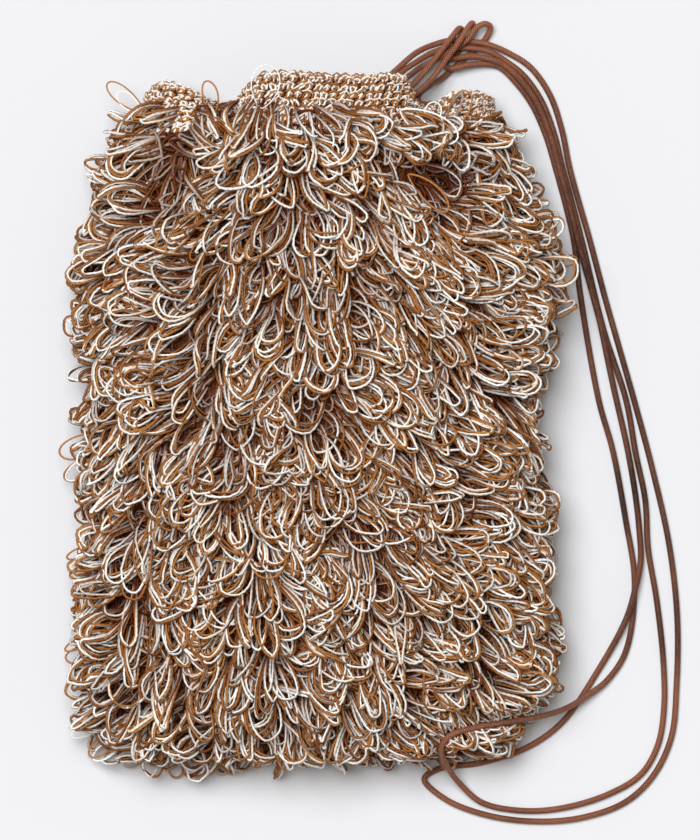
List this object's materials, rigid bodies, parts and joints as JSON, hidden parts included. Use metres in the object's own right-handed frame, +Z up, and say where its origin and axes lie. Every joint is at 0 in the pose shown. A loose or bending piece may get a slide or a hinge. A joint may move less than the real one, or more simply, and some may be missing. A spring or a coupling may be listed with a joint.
{
  "type": "crocheted loop-pile drawstring bag",
  "caption": "Soft crocheted drawstring bag with shaggy yarn loops all over, a drawn-in ribbed collar and long looped cords, lying on its back.",
  "frame": {"origin": "on the surface that the bag lies on, under the middle of its flat underside", "axes": "+X across the bag to the side where the cords lie, +Y along the bag towards its mouth, +Z up from the surface through the bag's front"},
  "size_m": [0.3143, 0.4024, 0.077],
  "materials": {
    "crochet": "matte off-white and ochre cotton crochet",
    "loop_yarn": "matte off-white and ochre cotton yarn, doubled",
    "cord": "brown round braid, satin"
  },
  "bodies": {
    "root": {"pouch": "crochet", "loop_tier_01": "loop_yarn", "loop_tier_02": "loop_yarn", "loop_tier_03": "loop_yarn", "loop_tier_04": "loop_yarn", "loop_tier_05": "loop_yarn", "loop_tier_06": "loop_yarn", "loop_tier_07": "loop_yarn", "loop_tier_08": "loop_yarn", "loop_tier_09": "loop_yarn", "loop_tier_10": "loop_yarn", "loop_tier_11": "loop_yarn", "loop_tier_12": "loop_yarn", "neck_cord": "cord", "drawstring_first": "cord", "drawstring_second": "cord"}
  },
  "joints": []
}
